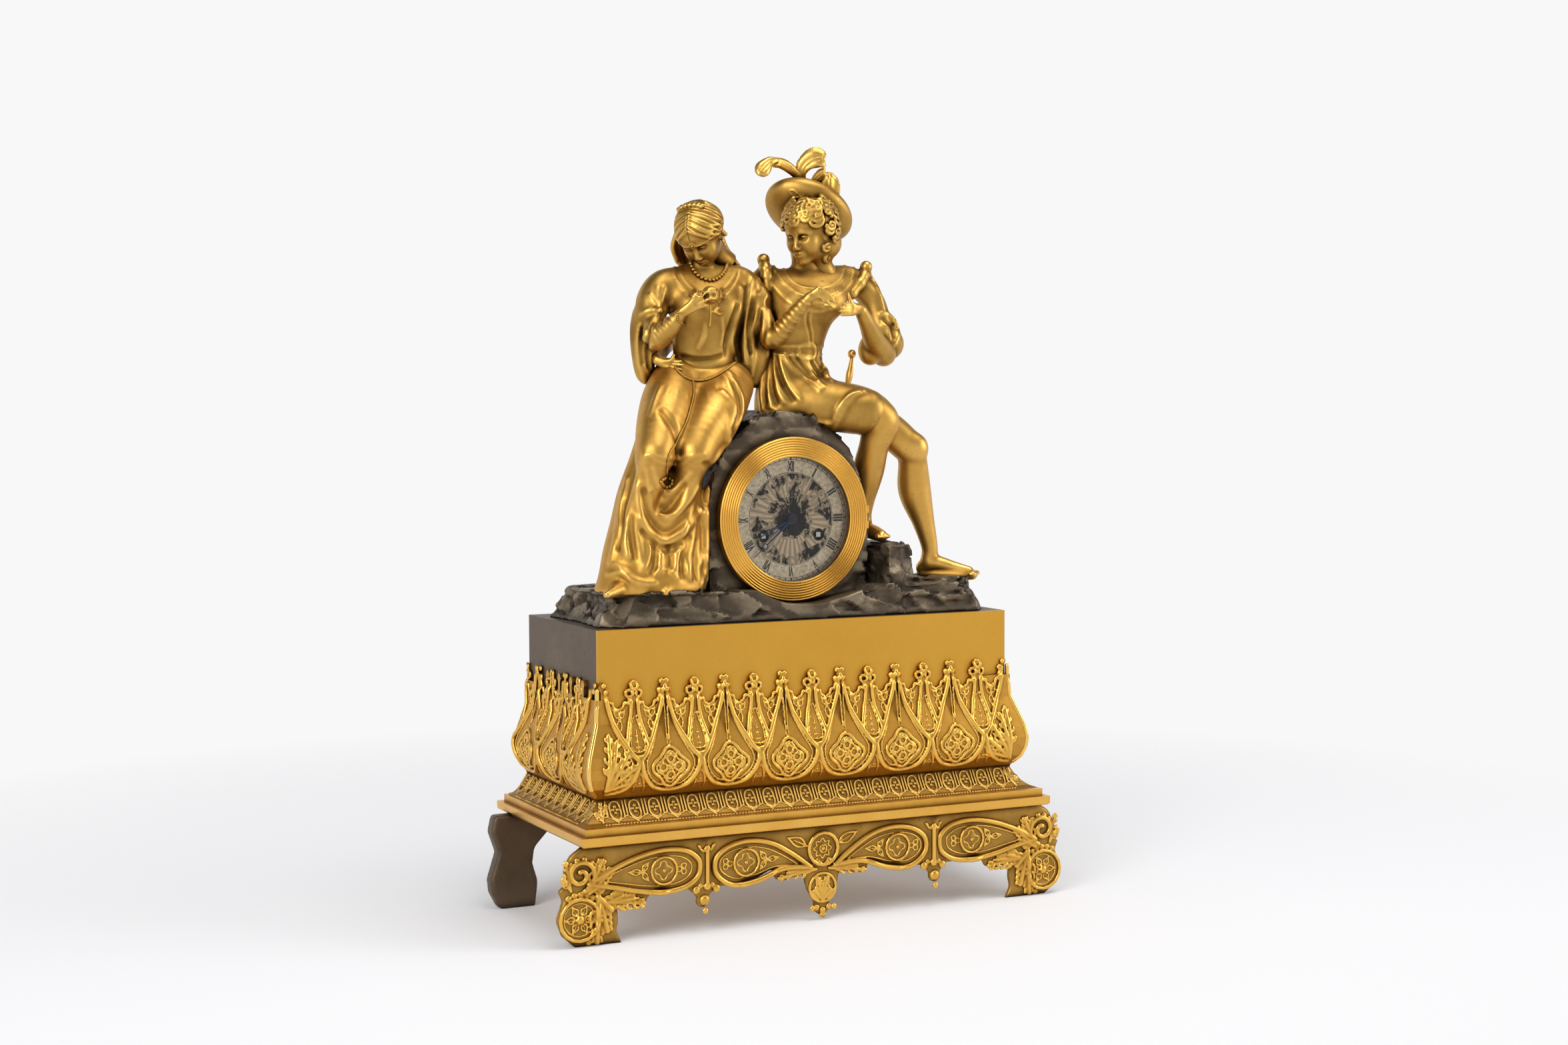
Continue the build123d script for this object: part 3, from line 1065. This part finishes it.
def bezel():
    """Ring of half-round reeds with a rebate for the glass and a notch for the hinge."""
    back = DRUM_FRONT_Y - BEZEL_GAP
    front = back - BEZEL_DEPTH + BEZEL_GAP
    pitch = (BEZEL_R - OPENING_R) / REED_COUNT
    profile = [(OPENING_R, back - GLASS_LIP), (OPENING_R, front)]
    for i in range(REED_COUNT):
        profile.append((OPENING_R + pitch * (i + 0.5), front - REED_RISE))
        profile.append((OPENING_R + pitch * (i + 1), front))
    profile += [(BEZEL_R, back), (OPENING_R + GLASS_LIP, back), (OPENING_R + GLASS_LIP, back - GLASS_LIP)]
    view = Plane(origin=(0, 0, DIAL_Z), x_dir=(1, 0, 0), z_dir=(0, 0, 1))
    ring = revolve(view * outline(profile), Axis((0, 0, DIAL_Z), (0, 1, 0)))
    ring -= disc(OPENING_R + GLASS_LIP, front + GLASS_LIP, back, 0, DIAL_Z)
    lip_front = DRUM_FRONT_Y - RING_LIP
    ring -= disc(RING_LIP_R + BEZEL_GAP, lip_front - BEZEL_GAP, back, 0, DIAL_Z)
    half = KNUCKLE_LENGTH / 2 + BEZEL_GAP
    ring -= block(RING_LIP_R, HINGE_X, lip_front - BEZEL_GAP, back, DIAL_Z - half, DIAL_Z + half)
    for side in (-1, 1):
        low, high = sorted((DIAL_Z + side * half, DIAL_Z + side * (half + KNUCKLE_LENGTH)))
        near, far = HINGE_Y - KNUCKLE_R / 2, HINGE_Y + KNUCKLE_R / 2
        tongue = block(BEZEL_R - RING_RIM, HINGE_X, near, far, low, high)
        ring += tongue + knuckle(low, high)
        ring -= Pos(HINGE_X, HINGE_Y, (low + high) / 2) * Cylinder(HINGE_PIN_R + HINGE_FIT, high - low)
    return ring


def bezel_glass():
    front = DRUM_FRONT_Y - BEZEL_DEPTH + GLASS_LIP
    return disc(OPENING_R + GLASS_LIP, front, front + GLASS_THICK, 0, DIAL_Z)


def strap(side):
    half = STRAP_WIDTH / 2
    left, right = sorted((side * STRAP_X, side * (STRAP_X + STRAP_THICK)))
    return block(left, right, DRUM_FRONT_Y + RING_DEPTH, DRUM_BACK_Y, DIAL_Z - half, DIAL_Z + half)


def rear_ring():
    return tube(REAR_RING_R, REAR_RING_BORE_R, DRUM_BACK_Y, DRUM_BACK_Y + REAR_RING_THICK, 0, DIAL_Z)


def case_pieces():
    return {
        "front_apron": front_apron(),
        "rear_foot_left": rear_foot(-1),
        "rear_foot_right": rear_foot(1),
        "base_slab": base_slab(),
        "cavetto_band": cavetto_band(),
        "skirt_front": skirt_front(),
        "skirt_left": skirt_side(-1),
        "skirt_right": skirt_side(1),
        "plinth_front": plinth_front(),
        "plinth_left": plinth_side(-1),
        "plinth_right": plinth_side(1),
        "plinth_top": plinth_top(),
        "rock_base": rock_base(),
        "case_ring": case_ring(),
        "bezel": bezel(),
        "bezel_glass": bezel_glass(),
        "dial": dial(),
        "strap_left": strap(-1),
        "strap_right": strap(1),
        "rear_ring": rear_ring(),
    }


def movement_pieces():
    return {
        "front_plate": front_plate(),
        "back_plate": back_plate(),
        "going_barrel": barrel(GOING_AT),
        "going_arbor": winding_arbor(GOING_AT),
        "second_wheel": second_wheel(),
        "centre_wheel": centre_wheel(),
        "third_wheel": third_wheel(),
        "escape_wheel": escape_wheel(),
        "anchor_and_crutch": anchor_and_crutch(),
        "suspension_cock": suspension_cock(),
        "pendulum": pendulum(),
        "strike_barrel": barrel(STRIKE_AT),
        "strike_arbor": winding_arbor(STRIKE_AT),
        "pin_wheel": pin_wheel(),
        "warning_wheel": warning_wheel(),
        "fly": fly(),
        "count_wheel": count_wheel(),
        "hammer": hammer(),
        "bell": bell(),
        "bell_stand": bell_stand(),
        "cannon_pinion": cannon_pinion(),
        "minute_hand": minute_hand(),
        "minute_wheel": minute_wheel(),
        "hour_wheel": hour_wheel(),
        "hour_hand": hour_hand(),
    }


os.makedirs("parts", exist_ok=True)
for pieces in (case_pieces(), figures(), movement_pieces()):
    for name, piece in pieces.items():
        export_step(piece, "parts/" + name + ".step")
